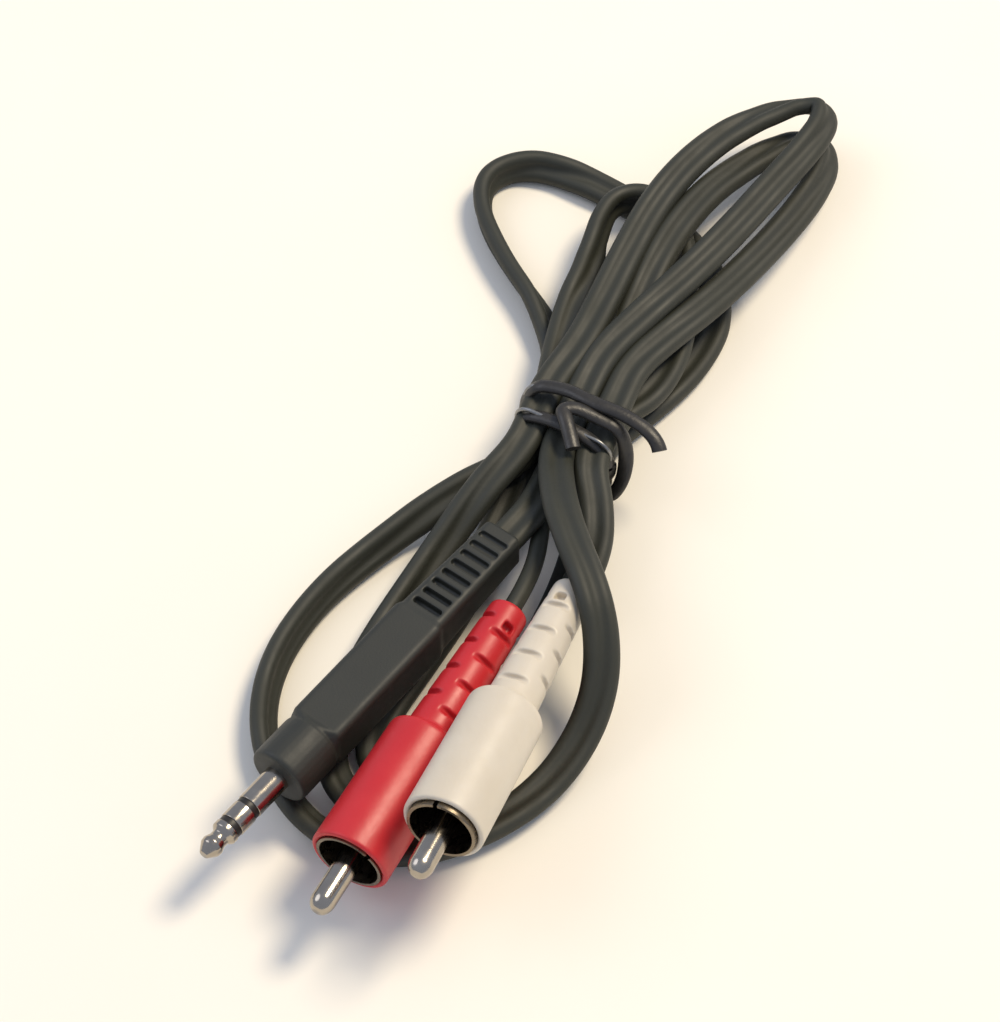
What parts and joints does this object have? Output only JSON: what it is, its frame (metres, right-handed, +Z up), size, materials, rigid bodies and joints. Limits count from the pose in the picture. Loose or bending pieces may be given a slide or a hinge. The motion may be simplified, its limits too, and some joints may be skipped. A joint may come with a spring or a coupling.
{
  "type": "stereo audio cable",
  "caption": "Mini-jack to red and white phono plugs on a black twin cord, lying as a loose figure-of-eight hank held by a wire twist tie.",
  "frame": {"origin": "centre of the bounding box's base, on the floor the cable lies on", "axes": "+X along the hank from the plugs to the far loops, its longest extent; +Y to the left of that; +Z up"},
  "size_m": [0.1532, 0.0598, 0.0216],
  "materials": {
    "nickel_plate": "bright nickel plate",
    "tinned_brass": "tinned, satin",
    "copper": "bare stranded copper",
    "white_insulation": "satin",
    "red_insulation": "satin",
    "clear_mould": "natural, satin",
    "black_insulator": "matt",
    "black_grip": "fine satin",
    "red_boot": "soft semi-gloss",
    "white_boot": "soft semi-gloss",
    "black_cord": "satin",
    "steel_wire": "drawn wire",
    "black_tie": "satin"
  },
  "bodies": {
    "root": {"far_loop_inner": "black_cord", "far_loop_short": "black_cord", "far_loop_side": "black_cord", "far_loop_upper": "black_cord", "jack_cord_end": "black_cord", "jack_grip": "black_grip", "jack_inner_mould": "clear_mould", "jack_left_conductor": "copper", "jack_left_insulation": "white_insulation", "jack_right_conductor": "copper", "jack_right_insulation": "red_insulation", "jack_ring": "nickel_plate", "jack_ring_insulator": "black_insulator", "jack_ring_tag": "tinned_brass", "jack_screen_tail": "copper", "jack_sleeve": "nickel_plate", "jack_sleeve_tag": "tinned_brass", "jack_tail": "black_cord", "jack_tip": "nickel_plate", "jack_tip_insulator": "black_insulator", "jack_tip_tag": "tinned_brass", "near_loop_inner": "black_cord", "near_loop_outer": "black_cord", "near_loop_under": "black_cord", "red_boot": "red_boot", "red_conductor": "copper", "red_core_insulation": "red_insulation", "red_ground_tag": "tinned_brass", "red_inner_mould": "clear_mould", "red_insulator": "black_insulator", "red_lead": "black_cord", "red_lead_end": "black_cord", "red_pin": "nickel_plate", "red_screen_tail": "copper", "red_shell": "nickel_plate", "tie_coating": "black_tie", "tie_wire": "steel_wire", "white_boot": "white_boot", "white_conductor": "copper", "white_core_insulation": "white_insulation", "white_ground_tag": "tinned_brass", "white_inner_mould": "clear_mould", "white_insulator": "black_insulator", "white_lead": "black_cord", "white_lead_end": "black_cord", "white_pin": "nickel_plate", "white_screen_tail": "copper", "white_shell": "nickel_plate"}
  },
  "joints": []
}
